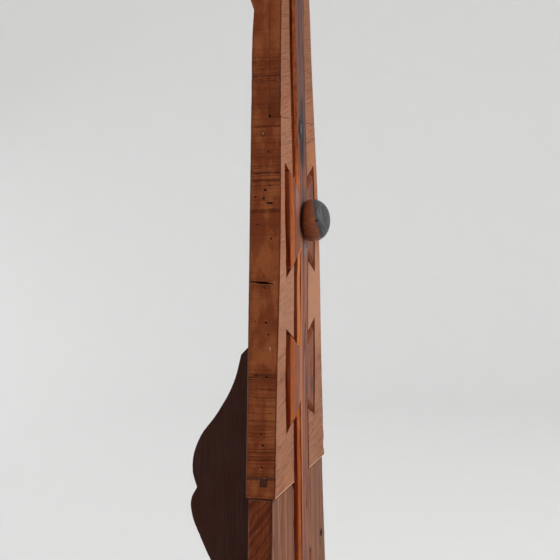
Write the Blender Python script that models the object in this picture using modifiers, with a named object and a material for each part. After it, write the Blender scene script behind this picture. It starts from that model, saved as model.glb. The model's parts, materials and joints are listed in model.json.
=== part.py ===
"""A tapered timber upright with a carved centre rail, a turning knob and a scroll-cut keel behind it.

Metres, +Z up. The origin is on the ground at the middle of the board's width and thickness.
The carved front faces -Y, and the keel stands out behind along +Y.
"""

import math

import bmesh
import bpy
from mathutils import Matrix, Vector

MM = 0.001
GAP = 0.3 * MM
HEIGHT = 1010 * MM
SEAM_Z = 357 * MM
LAP_Z = 785 * MM

# The board narrows evenly from the ground to the top.
GROUND_HALF_WIDTH = 156.5 * MM
TAPER = 0.0962
THICKNESS = 35 * MM
FRONT_Y = -THICKNESS / 2
BACK_Y = THICKNESS / 2
LOWER_SET_IN = 3 * MM
LAP_Y = -3.5 * MM
EASED_EDGE = 0.5 * MM

# The relief: a rail stands in a wider sunk channel, and is chamfered where it is proud of the board.
# Half widths are below the lower bow-tie, between the two, and above the upper one.
RAIL_HALF_WIDTHS = (16.6 * MM, 16.6 * MM, 18.5 * MM)
RAIL_PROUD = 4.1 * MM
CHANNEL_HALF_WIDTHS = (37 * MM, 35 * MM, 35 * MM)
LOWER_CHANNEL_HALF_WIDTH = 28 * MM
CHANNEL_DEPTH = 9 * MM
RAIL_TOP_Y = FRONT_Y - RAIL_PROUD
CHANNEL_FLOOR_Y = FRONT_Y + CHANNEL_DEPTH
RAIL_BACK_Y = CHANNEL_FLOOR_Y - GAP

# Each bow-tie's height on the board, and how tall it is beside the sizes that follow.
BOW_TIES = ((481.5 * MM, 0.965), (667.5 * MM, 1.035))
BOW_TIE_WAIST = 31 * MM
BOW_TIE_CORNER = (47 * MM, 48 * MM)
SUNK_WAIST = 49.5 * MM
SUNK_CORNER = (70.5 * MM, 64.3 * MM)
SUNK_HALF_WIDTH = 74 * MM

KNOB_Z = 666.5 * MM
KNOB_RADIUS = 25.5 * MM
KNOB_BASE_Y = RAIL_TOP_Y - 4 * MM
KNOB_WIDEST_Y = -35 * MM
KNOB_END_Y = -54.8 * MM
KNOB_FOOT_DEPTH = 12 * MM
SPINDLE_RADIUS = 8 * MM
SPINDLE_FRONT_Y = -48 * MM
SPINDLE_BACK_Y = 31 * MM
COLLAR_RADIUS = 18 * MM
COLLAR_THICKNESS = 10 * MM
COLLAR_Y = BACK_Y + GAP
KNOB_PIN_RADIUS = 1.2 * MM
KNOB_PIN_Y = -44.5 * MM
COLLAR_PIN_RADIUS = 1.5 * MM

KEEL_HALF_THICKNESS = 15 * MM
KEEL_HOUSING_DEPTH = 6 * MM
KEEL_INNER_Y = BACK_Y - KEEL_HOUSING_DEPTH
KEEL_TOP_Z = 539 * MM
KEEL_DOWEL_HEIGHTS = (60 * MM, 180 * MM, 300 * MM, 400 * MM, 440 * MM)
KEEL_DOWEL_END_Y = 50 * MM

PEG_RADIUS = 4.5 * MM
PEG_DEPTH_IN_RAIL = 6.5 * MM
RAIL_PEG_HEIGHTS = (585 * MM, 745 * MM, 826 * MM)
WING_PEG_X = 35 * MM
LAP_PEGS = ((46 * MM, 806 * MM), (43 * MM, 845 * MM))
LAP_PEG_FRONT_Y = LAP_Y - 8 * MM
SEAM_DOWEL_RADIUS = 6 * MM
SEAM_DOWEL_LENGTH = 80 * MM
SEAM_DOWEL_X = 78 * MM
SEAM_DOWEL_Y = 3 * MM

PLUG_Z = 375 * MM
PLUG_Y = -2.6 * MM
PLUG_HEIGHT = 8.6 * MM
PLUG_WIDTH = 7.2 * MM
PLUG_DEPTH = 12 * MM

FAR = 0.4


def half_width(z):
    return GROUND_HALF_WIDTH - TAPER * z


def new_collection(name):
    collection = bpy.data.collections.new(name)
    bpy.context.scene.collection.children.link(collection)
    return collection


def new_material(name, colour, roughness):
    material = bpy.data.materials.new(name)
    material.use_nodes = True
    shader = material.node_tree.nodes["Principled BSDF"]
    shader.inputs["Base Color"].default_value = (*colour, 1)
    shader.inputs["Roughness"].default_value = roughness
    shader.inputs["Metallic"].default_value = 0
    material.diffuse_color = (*colour, 1)
    return material


def add_object(name, mesh, collection, material=None):
    piece = bpy.data.objects.new(name, mesh)
    collection.objects.link(piece)
    if material:
        mesh.materials.append(material)
    return piece


def as_cutter(piece):
    piece.hide_render = True
    piece.display_type = "WIRE"
    return piece


def mesh_of(curve_object, collection, material):
    """The curve's solid as a mesh object of the same name, with its caps welded on."""
    bpy.context.view_layer.update()
    graph = bpy.context.evaluated_depsgraph_get()
    mesh = bpy.data.meshes.new_from_object(curve_object.evaluated_get(graph))
    welded = bmesh.new()
    welded.from_mesh(mesh)
    bmesh.ops.remove_doubles(welded, verts=welded.verts, dist=0.01 * MM)
    bmesh.ops.recalc_face_normals(welded, faces=welded.faces)
    welded.to_mesh(mesh)
    welded.free()
    mesh.transform(curve_object.matrix_world)
    name = curve_object.name
    bpy.data.objects.remove(curve_object)
    return add_object(name, mesh, collection, material)


def plate(name, spline_filler, thickness, middle, faces_x, collection, material=None):
    """A flat outline cut from a board. It faces Y, or X where faces_x, and is centred on middle there."""
    curve = bpy.data.curves.new(name, "CURVE")
    curve.dimensions = "2D"
    curve.fill_mode = "BOTH"
    curve.extrude = thickness / 2
    spline_filler(curve)
    piece = bpy.data.objects.new(name, curve)
    collection.objects.link(piece)
    if faces_x:
        piece.rotation_euler = (math.pi / 2, 0, math.pi / 2)
        piece.location = (middle, 0, 0)
    else:
        piece.rotation_euler = (math.pi / 2, 0, 0)
        piece.location = (0, middle, 0)
    return mesh_of(piece, collection, material)


def polygon(points):
    """A filler for plate: straight edges through these points."""

    def fill(curve):
        spline = curve.splines.new("POLY")
        spline.points.add(len(points) - 1)
        for point, (across, up) in zip(spline.points, points):
            point.co = (across, up, 0, 1)
        spline.use_cyclic_u = True

    return fill


def rounded(points, resolution):
    """A filler for plate through points of (across, up, kind), where AUTO is round and VECTOR a corner."""

    def fill(curve):
        spline = curve.splines.new("BEZIER")
        spline.resolution_u = resolution
        spline.bezier_points.add(len(points) - 1)
        for point, (across, up, kind) in zip(spline.bezier_points, points):
            point.co = (across, up, 0)
            point.handle_left_type = kind
            point.handle_right_type = kind
        spline.use_cyclic_u = True

    return fill


def offset_outline(points, distance):
    """The outline moved outwards by distance, with mitred corners. Its points run anticlockwise."""
    moved = []
    for i, here in enumerate(points):
        corner = Vector(here)
        before = (corner - Vector(points[i - 1])).normalized()
        after = (Vector(points[(i + 1) % len(points)]) - corner).normalized()
        normal_before = Vector((before.y, -before.x))
        normal_after = Vector((after.y, -after.x))
        mitre = (normal_before + normal_after).normalized()
        moved.append(corner + mitre * (distance / mitre.dot(normal_before)))
    return moved


def chamfered_prism(name, outline, levels, collection, material=None):
    """A loft through offsets of one outline. Each level gives how far its ring is spread, and its Y."""
    shape = bmesh.new()
    rings = []
    for spread, y in levels:
        rings.append([shape.verts.new((point.x, y, point.y)) for point in offset_outline(outline, spread)])
    for cap in (rings[0], rings[-1]):
        shape.faces.new(cap)
    for above, below in zip(rings, rings[1:]):
        for i, corner in enumerate(above):
            shape.faces.new((above[i - 1], corner, below[i], below[i - 1]))
    bmesh.ops.recalc_face_normals(shape, faces=shape.faces)
    mesh = bpy.data.meshes.new(name)
    shape.to_mesh(mesh)
    shape.free()
    return add_object(name, mesh, collection, material)


def rod(name, radius, start, end, collection, material=None, sides=24):
    """A round rod between two points."""
    start, end = Vector(start), Vector(end)
    shape = bmesh.new()
    length = (end - start).length
    bmesh.ops.create_cone(shape, cap_ends=True, segments=sides, radius1=radius, radius2=radius, depth=length)
    turn = (end - start).to_track_quat("Z", "Y").to_matrix().to_4x4()
    bmesh.ops.transform(shape, verts=shape.verts, matrix=Matrix.Translation((start + end) / 2) @ turn)
    mesh = bpy.data.meshes.new(name)
    shape.to_mesh(mesh)
    shape.free()
    piece = add_object(name, mesh, collection, material)
    mesh.shade_smooth()
    mesh.set_sharp_from_angle(angle=math.radians(40))
    return piece


def box(name, low, high, collection, material=None):
    """A box between two opposite corners."""
    low, high = Vector(low), Vector(high)
    shape = bmesh.new()
    bmesh.ops.create_cube(shape, size=1)
    size = Matrix.Diagonal((*(high - low), 1))
    bmesh.ops.transform(shape, verts=shape.verts, matrix=Matrix.Translation((low + high) / 2) @ size)
    mesh = bpy.data.meshes.new(name)
    shape.to_mesh(mesh)
    shape.free()
    return add_object(name, mesh, collection, material)


def boolean(piece, other, operation):
    modifier = piece.modifiers.new(f"{operation.lower()} {other.name}", "BOOLEAN")
    modifier.operation = operation
    modifier.object = other


def ease_edges(piece, width):
    modifier = piece.modifiers.new("eased edges", "BEVEL")
    modifier.width = width
    modifier.segments = 1
    modifier.limit_method = "ANGLE"
    modifier.angle_limit = math.radians(40)


def tapered_outline(low_z, high_z, spare=0):
    """The board's front outline between two heights, and wider by spare."""
    low_half = half_width(low_z) + spare
    high_half = half_width(high_z) + spare
    return [(-low_half, low_z), (low_half, low_z), (high_half, high_z), (-high_half, high_z)]


def relief_outline(foot, widths, waist, corner, half_width_out):
    """A strip that swells at the bow-ties, anticlockwise: foot wide below the seam, widths wide above it."""
    past_the_ends = 40 * MM
    right = [(foot, -past_the_ends)]
    if foot != widths[0]:
        right += [(foot, SEAM_Z), (widths[0], SEAM_Z)]
    for (z, stretch), below, above in zip(BOW_TIES, widths, widths[1:]):
        right.append((below, z - waist * stretch))
        right.append((corner[0], z - corner[1] * stretch))
        if half_width_out > corner[0]:
            right.append((half_width_out, z))
        right.append((corner[0], z + corner[1] * stretch))
        right.append((above, z + waist * stretch))
    right.append((widths[-1], HEIGHT + past_the_ends))
    return right + [(-across, z) for across, z in reversed(right)]


def channel_cutter(cutters):
    """What is cut from the boards' fronts: the sunk ground round the rail."""
    outline = relief_outline(
        LOWER_CHANNEL_HALF_WIDTH, CHANNEL_HALF_WIDTHS, SUNK_WAIST, SUNK_CORNER, SUNK_HALF_WIDTH)
    in_front = FRONT_Y - 6 * MM
    levels = ((0, in_front), (0, CHANNEL_FLOOR_Y))
    return as_cutter(chamfered_prism("channel_cutter", outline, levels, cutters))


def make_centre_rail(parts, cutters, material):
    """The rail and its bow-ties, one plank: chamfered where they stand proud, upright in the channel."""
    outline = relief_outline(RAIL_HALF_WIDTHS[0], RAIL_HALF_WIDTHS, BOW_TIE_WAIST, BOW_TIE_CORNER, 0)
    levels = ((0, RAIL_TOP_Y), (RAIL_PROUD, FRONT_Y), (RAIL_PROUD, RAIL_BACK_Y))
    rail = chamfered_prism("centre_rail", outline, levels, parts, material)
    ends = as_cutter(box("rail_ends", (-FAR, -FAR, 0), (FAR, FAR, HEIGHT), cutters))
    boolean(rail, ends, "INTERSECT")
    return rail


def make_lower_block(parts, material):
    thickness = THICKNESS - 2 * LOWER_SET_IN
    outline = tapered_outline(0, SEAM_Z - GAP)
    block = plate("lower_block", polygon(outline), thickness, 0, False, parts, material)
    ease_edges(block, EASED_EDGE)
    return block


def make_middle_block(parts, cutters, material):
    """Seen from the side: full thickness up to the lap, then a tongue that ends in a rounded scroll.

    The lap is cut after the edges are eased, so that the joint's own edges stay sharp and close.
    """
    side = [
        (FRONT_Y, SEAM_Z, "VECTOR"),
        (BACK_Y, SEAM_Z, "VECTOR"),
        (BACK_Y, 852 * MM, "VECTOR"),
        (BACK_Y - 0.5 * MM, 884 * MM, "AUTO"),
        (BACK_Y - 1.9 * MM, 907 * MM, "VECTOR"),
        (BACK_Y + 4.5 * MM, 926 * MM, "AUTO"),
        (BACK_Y + 9 * MM, 953 * MM, "AUTO"),
        (BACK_Y - 2 * MM, 984 * MM, "AUTO"),
        (LAP_Y + GAP, 997 * MM, "VECTOR"),
        (FRONT_Y, 997 * MM, "VECTOR"),
    ]
    block = plate("middle_block", rounded(side, 8), 2 * FAR, 0, True, parts, material)
    sides = polygon(tapered_outline(SEAM_Z - 10 * MM, HEIGHT + 10 * MM))
    boolean(block, as_cutter(plate("middle_sides", sides, FAR, 0, False, cutters)), "INTERSECT")
    ease_edges(block, EASED_EDGE)
    lap = box("lap_cutter", (-FAR, -FAR, LAP_Z - GAP), (FAR, LAP_Y + GAP, HEIGHT + FAR), cutters)
    boolean(block, as_cutter(lap), "DIFFERENCE")
    return block


def make_upper_block(parts, cutters, material):
    """The front half of the lap. It is eased while it is too big, so that the joint's edges stay sharp."""
    outline = tapered_outline(LAP_Z - 10 * MM, HEIGHT)
    block = plate("upper_block", polygon(outline), THICKNESS, 0, False, parts, material)
    ease_edges(block, EASED_EDGE)
    seat = box("upper_seat", (-FAR, -FAR, LAP_Z), (FAR, LAP_Y, HEIGHT + FAR), cutters)
    boolean(block, as_cutter(seat), "INTERSECT")
    return block


def make_side_plug(parts, cutters, material):
    """The square repair plug, flush with the board's sloping near side, and the cutter of its mortise."""

    def outline(grow, out):
        low, high = PLUG_Z - PLUG_HEIGHT / 2 - grow, PLUG_Z + PLUG_HEIGHT / 2 + grow
        inner = -half_width(PLUG_Z) + PLUG_DEPTH + grow
        return [(-half_width(low) - out, low), (inner, low), (inner, high), (-half_width(high) - out, high)]

    plug = plate("side_plug", polygon(outline(0, 0)), PLUG_WIDTH, PLUG_Y, False, parts, material)
    mortise = plate("plug_mortise", polygon(outline(GAP, 5 * MM)), PLUG_WIDTH + 2 * GAP, PLUG_Y, False,
                    cutters)
    return plug, as_cutter(mortise)


def make_keel(parts, cutters, material):
    """The scroll-cut keel: a brace-shaped back edge with a cusp, then a waist and a foot on the ground."""
    edge = [
        (-KEEL_HOUSING_DEPTH / MM, 0, "VECTOR"),
        (98, 0, "VECTOR"),
        (98, 10, "AUTO"),
        (80, 48, "AUTO"),
        (61, 112, "AUTO"),
        (61, 178, "AUTO"),
        (72, 232, "AUTO"),
        (90, 274, "AUTO"),
        (102, 306, "AUTO"),
        (102.5, 325, "AUTO"),
        (95, 339.5, "VECTOR"),
        (100.3, 362, "AUTO"),
        (92.5, 397, "AUTO"),
        (66, 434.5, "AUTO"),
        (46, 470, "AUTO"),
        (35.5, 505.5, "VECTOR"),
        (2, KEEL_TOP_Z / MM, "VECTOR"),
        (-KEEL_HOUSING_DEPTH / MM, KEEL_TOP_Z / MM, "VECTOR"),
    ]
    points = [(BACK_Y + behind * MM, z * MM, kind) for behind, z, kind in edge]
    keel = plate("rear_keel", rounded(points, 6), 2 * KEEL_HALF_THICKNESS, 0, True, parts, material)
    ease_edges(keel, EASED_EDGE)
    side = KEEL_HALF_THICKNESS + GAP
    low = (-side, KEEL_INNER_Y - GAP, -FAR)
    high = (side, FAR, KEEL_TOP_Z + GAP)
    return keel, as_cutter(box("keel_housing", low, high, cutters))


def knob_profile():
    """(radius, y) from the foot of the knob round its widest ring to the end of its dome."""
    points = []
    foot_angle = math.asin((KNOB_BASE_Y - KNOB_WIDEST_Y) / KNOB_FOOT_DEPTH)
    for i in range(6):
        angle = foot_angle * (1 - i / 5)
        radius = KNOB_RADIUS * math.cos(angle) ** 0.25
        points.append((radius, KNOB_WIDEST_Y + KNOB_FOOT_DEPTH * math.sin(angle)))
    dome = KNOB_WIDEST_Y - KNOB_END_Y
    for i in range(1, 11):
        angle = math.pi / 2 * i / 10
        radius = KNOB_RADIUS * max(math.cos(angle), 0) ** 0.85
        points.append((radius if i < 10 else 0, KNOB_WIDEST_Y - dome * math.sin(angle) ** 1.05))
    return points


def turned(name, profile, collection, material, steps=40):
    """A profile of (radius, y) turned about the knob's axis, closed at the axis."""
    shape = bmesh.new()
    rims = [shape.verts.new((radius, y, 0)) for radius, y in profile]
    rims.insert(0, shape.verts.new((0, profile[0][1], 0)))
    for first, second in zip(rims, rims[1:]):
        shape.edges.new((first, second))
    mesh = bpy.data.meshes.new(name)
    shape.to_mesh(mesh)
    shape.free()
    piece = add_object(name, mesh, collection, material)
    piece.location = (0, 0, KNOB_Z)
    screw = piece.modifiers.new("turning", "SCREW")
    screw.axis = "Y"
    screw.steps = steps
    screw.render_steps = steps
    screw.use_merge_vertices = True
    screw.merge_threshold = 0.00001
    screw.use_normal_calculate = True
    return piece


def bore(piece, name, radius, start, end, cutters):
    boolean(piece, as_cutter(rod(name, radius + GAP, start, end, cutters)), "DIFFERENCE")


def make_knob(parts, cutters, knob_wood, peg_wood, iron):
    """The knob and what turns with it: spindle, collar behind the board, and the two small pins."""
    knob = turned("knob", knob_profile(), parts, knob_wood)
    bore(knob, "knob_socket", SPINDLE_RADIUS, (0, 0, KNOB_Z), (0, SPINDLE_FRONT_Y - GAP, KNOB_Z), cutters)
    spindle = rod("knob_spindle", SPINDLE_RADIUS, (0, SPINDLE_BACK_Y, KNOB_Z), (0, SPINDLE_FRONT_Y, KNOB_Z),
                  parts, peg_wood, 32)

    collar_back = COLLAR_Y + COLLAR_THICKNESS
    collar = rod("spindle_collar", COLLAR_RADIUS, (0, COLLAR_Y, KNOB_Z), (0, collar_back, KNOB_Z),
                 parts, peg_wood, 40)
    ease_edges(collar, EASED_EDGE)
    bore(collar, "collar_bore", SPINDLE_RADIUS, (0, 0, KNOB_Z), (0, 2 * collar_back, KNOB_Z), cutters)

    pin_start = -KNOB_RADIUS + 4.2 * MM
    pin_end = SPINDLE_RADIUS - 1 * MM
    rod("knob_pin", KNOB_PIN_RADIUS, (pin_start, KNOB_PIN_Y, KNOB_Z), (pin_end, KNOB_PIN_Y, KNOB_Z),
        parts, iron, 12)
    for piece in (knob, spindle):
        bore(piece, f"{piece.name}_pin_hole", KNOB_PIN_RADIUS, (-FAR, KNOB_PIN_Y, KNOB_Z),
             (pin_end + GAP, KNOB_PIN_Y, KNOB_Z), cutters)

    pin_y = COLLAR_Y + COLLAR_THICKNESS / 2
    reach = COLLAR_RADIUS - 1 * MM
    rod("collar_pin", COLLAR_PIN_RADIUS, (-reach, pin_y, KNOB_Z), (reach, pin_y, KNOB_Z), parts, iron, 12)
    for piece in (collar, spindle):
        bore(piece, f"{piece.name}_cross_hole", COLLAR_PIN_RADIUS, (-FAR, pin_y, KNOB_Z),
             (FAR, pin_y, KNOB_Z), cutters)


def peg(name, radius, start, end, drilled, parts, cutters, material):
    """A peg in a hole of its own through each of the drilled pieces, with the gap at its blind ends too."""
    start, end = Vector(start), Vector(end)
    rod(name, radius, start, end, parts, material)
    along = (end - start).normalized() * GAP
    hole = as_cutter(rod(f"{name}_hole", radius + GAP, start - along, end + along, cutters))
    for piece in drilled:
        boolean(piece, hole, "DIFFERENCE")


def make_pegs(parts, cutters, rail, lower, middle, upper, keel, material):
    reach = SEAM_DOWEL_LENGTH / 2
    for i, side in enumerate((-1, 1), 1):
        x = side * SEAM_DOWEL_X
        peg(f"seam_dowel_{i}", SEAM_DOWEL_RADIUS, (x, SEAM_DOWEL_Y, SEAM_Z - reach),
            (x, SEAM_DOWEL_Y, SEAM_Z + reach), (lower, middle), parts, cutters, material)
    blind_y = RAIL_BACK_Y - PEG_DEPTH_IN_RAIL
    for i, z in enumerate(KEEL_DOWEL_HEIGHTS, 1):
        board = lower if z < SEAM_Z else middle
        peg(f"keel_dowel_{i}", PEG_RADIUS, (0, blind_y, z), (0, KEEL_DOWEL_END_Y, z),
            (rail, board, keel), parts, cutters, material)
    rail_pegs = [(0, z) for z in RAIL_PEG_HEIGHTS]
    rail_pegs += [(side * WING_PEG_X, z) for z, _ in BOW_TIES for side in (-1, 1)]
    for i, (x, z) in enumerate(rail_pegs, 1):
        boards = (middle, upper) if z > LAP_Z else (middle,)
        peg(f"rail_peg_{i}", PEG_RADIUS, (x, blind_y, z), (x, BACK_Y, z), (rail, *boards),
            parts, cutters, material)
    lap_pegs = [(side * x, z) for x, z in LAP_PEGS for side in (-1, 1)]
    for i, (x, z) in enumerate(lap_pegs, 1):
        peg(f"lap_peg_{i}", PEG_RADIUS, (x, LAP_PEG_FRONT_Y, z), (x, BACK_Y, z), (middle, upper),
            parts, cutters, material)


def main():
    for old in list(bpy.data.objects):
        bpy.data.objects.remove(old)
    parts = new_collection("carved_upright")
    cutters = new_collection("cutters")
    cross_wood = new_material("cross_grain_timber", (0.36, 0.17, 0.09), 0.7)
    upright_wood = new_material("upright_grain_timber", (0.27, 0.14, 0.09), 0.75)
    rail_wood = new_material("weathered_rail_timber", (0.25, 0.13, 0.10), 0.75)
    keel_wood = new_material("dark_keel_timber", (0.035, 0.018, 0.012), 0.6)
    knob_wood = new_material("turned_knob_timber", (0.16, 0.09, 0.06), 0.5)
    peg_wood = new_material("peg_timber", (0.30, 0.17, 0.09), 0.7)
    plug_wood = new_material("plug_timber", (0.06, 0.03, 0.02), 0.7)
    iron = new_material("pin_iron", (0.05, 0.045, 0.04), 0.6)

    rail = make_centre_rail(parts, cutters, rail_wood)
    lower = make_lower_block(parts, upright_wood)
    middle = make_middle_block(parts, cutters, cross_wood)
    upper = make_upper_block(parts, cutters, cross_wood)
    keel, housing = make_keel(parts, cutters, keel_wood)
    mortise = make_side_plug(parts, cutters, plug_wood)[1]
    channel = channel_cutter(cutters)
    for block in (lower, middle, upper):
        boolean(block, channel, "DIFFERENCE")
    for block in (lower, middle):
        boolean(block, housing, "DIFFERENCE")
    boolean(middle, mortise, "DIFFERENCE")
    for board in (rail, middle):
        bore(board, f"{board.name}_spindle_bore", SPINDLE_RADIUS, (0, -FAR, KNOB_Z), (0, FAR, KNOB_Z),
             cutters)
    make_pegs(parts, cutters, rail, lower, middle, upper, keel, peg_wood)
    make_knob(parts, cutters, knob_wood, peg_wood, iron)


main()
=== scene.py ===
"""The looks of the carved upright: worn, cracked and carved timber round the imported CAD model."""

import json
import math
import random

import bmesh
import bpy
from mathutils import Matrix, Vector, noise


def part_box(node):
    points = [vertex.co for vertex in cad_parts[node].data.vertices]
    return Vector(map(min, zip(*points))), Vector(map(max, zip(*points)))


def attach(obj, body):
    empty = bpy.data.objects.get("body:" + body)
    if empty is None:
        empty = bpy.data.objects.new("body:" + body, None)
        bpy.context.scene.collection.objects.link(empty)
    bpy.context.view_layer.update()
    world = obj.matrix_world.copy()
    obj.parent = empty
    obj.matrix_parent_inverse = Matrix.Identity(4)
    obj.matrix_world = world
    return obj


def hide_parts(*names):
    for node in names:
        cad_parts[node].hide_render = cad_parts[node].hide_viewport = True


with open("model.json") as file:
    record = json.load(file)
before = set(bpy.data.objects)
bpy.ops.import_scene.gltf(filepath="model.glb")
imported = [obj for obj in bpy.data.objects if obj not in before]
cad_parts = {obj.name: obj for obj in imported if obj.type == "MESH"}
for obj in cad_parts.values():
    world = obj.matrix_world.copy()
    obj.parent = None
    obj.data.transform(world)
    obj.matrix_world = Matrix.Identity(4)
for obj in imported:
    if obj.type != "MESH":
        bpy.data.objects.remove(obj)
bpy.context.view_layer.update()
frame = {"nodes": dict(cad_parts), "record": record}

MM = 0.001
BOARD = "board"
KNOB_BODY = "turning_knob"
KNOB_NODES = frame["record"]["behaviour"]["bodies"][KNOB_BODY]
RECORD_SLOTS = {s["node"]: s["material_slot"] for s in frame["record"]["subparts"]}

low_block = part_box("lower_block")
mid_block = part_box("middle_block")
top_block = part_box("upper_block")
rail_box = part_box("centre_rail")
knob_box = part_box("knob")
FRONT = top_block[0].y
BACK = -FRONT
SEAM_Z = mid_block[0].z
LAP_Z = top_block[0].z
LAP_Y = top_block[1].y
KNOB_Z = (knob_box[0].z + knob_box[1].z) / 2
TAPER = (low_block[1].x - top_block[1].x) / LAP_Z


def half_width(z):
    return low_block[1].x - TAPER * z


# The sunk channel: how deep its worn floor is at most, and how far its sides stand from the middle at most
# and in the lower block.
CHANNEL_DEPTH = 9.8 * MM
CHANNEL_REACH = 76 * MM
LOWER_CHANNEL = 28 * MM

# Up to here the back of the boards is flat. Above, it curves into the scroll.
FLAT_BACK_TOP = 850 * MM

# The old boards have swollen forward a little about the knob's height: how far, where, and over what reach.
SWELL = 2.4 * MM
SWELL_Z = 655 * MM
SWELL_REACH = 230 * MM

# The gap between touching pieces, the spacing of a cross-grained board's mesh, and a board's two side faces.
GAP = 0.3 * MM
BOARD_GRID = (4.5 * MM, 5 * MM, 4 * MM)
NEAR, FAR = -1, 1


def swollen(shape):
    """Moves the front of an upper board forward, less and less towards its back."""
    for vert in shape.verts:
        near = min(1.0, max(0.0, 1 - abs(vert.co.z - SWELL_Z) / SWELL_REACH))
        share = min(1.0, max(0.0, (BACK - vert.co.y) / (BACK - FRONT)))
        vert.co.y -= SWELL * near * near * (3 - 2 * near) * share


# ---------------------------------------------------------------- mesh work

def solid_of(node):
    """The node's mesh as a clean bmesh: coplanar triangles joined and split again without slivers."""
    shape = bmesh.new()
    shape.from_mesh(frame["nodes"][node].data)
    bmesh.ops.remove_doubles(shape, verts=shape.verts, dist=0.004 * MM)
    bmesh.ops.dissolve_limit(shape, angle_limit=math.radians(0.5), verts=shape.verts, edges=shape.edges)
    bmesh.ops.triangulate(shape, faces=shape.faces)
    return shape


def as_object(name, shape):
    """A new object of shape, a bmesh, which is freed."""
    mesh = bpy.data.meshes.new(name)
    shape.to_mesh(mesh)
    shape.free()
    piece = bpy.data.objects.new(name, mesh)
    bpy.context.scene.collection.objects.link(piece)
    return piece


def carved_away(shape, cutter):
    """shape less cutter, both bmeshes."""
    bmesh.ops.recalc_face_normals(cutter, faces=cutter.faces)
    whole, tool = as_object("whole", shape), as_object("tool", cutter)
    cut = whole.modifiers.new("cut", "BOOLEAN")
    cut.object = tool
    cut.operation = "DIFFERENCE"
    cut.use_self = True
    bpy.context.view_layer.update()
    graph = bpy.context.evaluated_depsgraph_get()
    mesh = bpy.data.meshes.new_from_object(whole.evaluated_get(graph))
    result = bmesh.new()
    result.from_mesh(mesh)
    for piece in (whole, tool):
        bpy.data.objects.remove(piece)
    bmesh.ops.triangulate(result, faces=result.faces)
    return result


def sliced(shape, steps):
    """Cuts the surface along evenly spaced planes square to each axis, so that it can be weathered."""
    for axis, step in enumerate(steps):
        low = min(v.co[axis] for v in shape.verts)
        high = max(v.co[axis] for v in shape.verts)
        normal = Vector([float(i == axis) for i in range(3)])
        count = int((high - low) / step)
        for i in range(1, count + 1):
            place = normal * (low + (i - 0.5) * (high - low) / count)
            everything = shape.verts[:] + shape.edges[:] + shape.faces[:]
            bmesh.ops.bisect_plane(shape, geom=everything, plane_co=place, plane_no=normal, dist=0.02 * MM)
    return shape


def weathered(shape, seed, undulation, wear, grain_axis, ridges, tight=lambda place: False):
    """Sinks the surface a little unevenly and wears its outer edges, apart from the edges of tight joints."""
    shape.normal_update()
    offset = Vector((seed * 3.7, seed * 1.9, seed * 7.3))
    worn_layer = shape.verts.layers.float.new("worn")
    sharpest_kept = math.radians(28)
    on_the_ground = 0.5 * MM
    along = Vector((1, 1, 1))
    along[grain_axis] = 0.06
    moves = []
    for vert in shape.verts:
        outer = 0.0
        for edge in vert.link_edges:
            if edge.is_convex and len(edge.link_faces) == 2 and edge.calc_face_angle(0) > sharpest_kept:
                outer = 1.0
        place = vert.co
        if outer and tight(place):
            outer = 0.0
        swell = 0.5 + 0.5 * noise.noise(place * 28 + offset)
        fine = 0.5 + 0.5 * noise.noise(place * 110 + offset)
        ridge = 0.5 + 0.5 * noise.noise(Vector(a * b for a, b in zip(place, along)) * 420 + offset)
        sink = undulation * (0.7 * swell + 0.3 * fine) + ridges * ridge
        chips = max(0.0, noise.noise(place * 45 + offset * 2) - 0.15) ** 1.5 * 7
        sink += outer * wear * (0.2 + 0.3 * fine + chips)
        vert[worn_layer] = outer * min(1.0, 0.4 + chips)
        moves.append(sink)
    for vert, sink in zip(shape.verts, moves):
        if vert.co.z > on_the_ground:
            vert.co -= vert.normal * sink
    return shape


def finished(name, shape, node, smooth_angle=32):
    """Makes the piece that stands for a CAD node, with the look of its slot, riding on its body."""
    slot = RECORD_SLOTS[node]
    piece = as_object(name, shape)
    piece.data.materials.append(LOOKS[slot])
    piece.data.shade_smooth()
    piece.data.set_sharp_from_angle(angle=math.radians(smooth_angle))
    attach(piece, KNOB_BODY if node in KNOB_NODES else BOARD)
    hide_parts(node)


def add_rod(cutter, start, end, radius, sides=8):
    """A round rod from start to end."""
    start, end = Vector(start), Vector(end)
    turn = (end - start).to_track_quat("Z", "Y").to_matrix().to_4x4()
    matrix = Matrix.Translation((start + end) / 2) @ turn
    bmesh.ops.create_cone(cutter, cap_ends=True, segments=sides, radius1=radius, radius2=radius,
                          depth=(end - start).length, matrix=matrix)


def add_dent(cutter, place, radii):
    """An egg-shaped hollow at place, with its three radii in millimetres."""
    matrix = Matrix.Translation(place) @ Matrix.Diagonal((*(radius * MM for radius in radii), 1))
    bmesh.ops.create_icosphere(cutter, subdivisions=2, radius=1, matrix=matrix)


def add_check(cutter, path, widths, depth):
    """A drying crack: a blade along path, as wide as each of widths, that narrows to a line along depth."""
    rings = []
    for place, across in zip(path, widths):
        rings.append([cutter.verts.new(p) for p in (place - across / 2, place + across / 2, place + depth)])
    for first, second in zip(rings, rings[1:]):
        for i in range(3):
            j = (i + 1) % 3
            cutter.faces.new((first[i], first[j], second[j], second[i]))
    cutter.faces.new(rings[0][::-1])
    cutter.faces.new(rings[-1])


def jagged(start, end, count, swing, across, seed):
    """Points from start to end that wander sideways along across."""
    draw = random.Random(seed)
    points = []
    for i in range(count):
        share = i / (count - 1)
        sway = draw.uniform(-1, 1) * swing * math.sin(math.pi * share)
        points.append(Vector(start).lerp(Vector(end), share) + across * sway)
    return points


def lens(count, across):
    """Widths for add_check that grow from a point to across and back."""
    return [across * (0.06 + math.sin(math.pi * i / (count - 1)) ** 0.7) for i in range(count)]


UP = Vector((0, 0, 1))
SIDEWAYS = Vector((1, 0, 0))
BACKWARDS = Vector((0, 1, 0))


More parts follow.
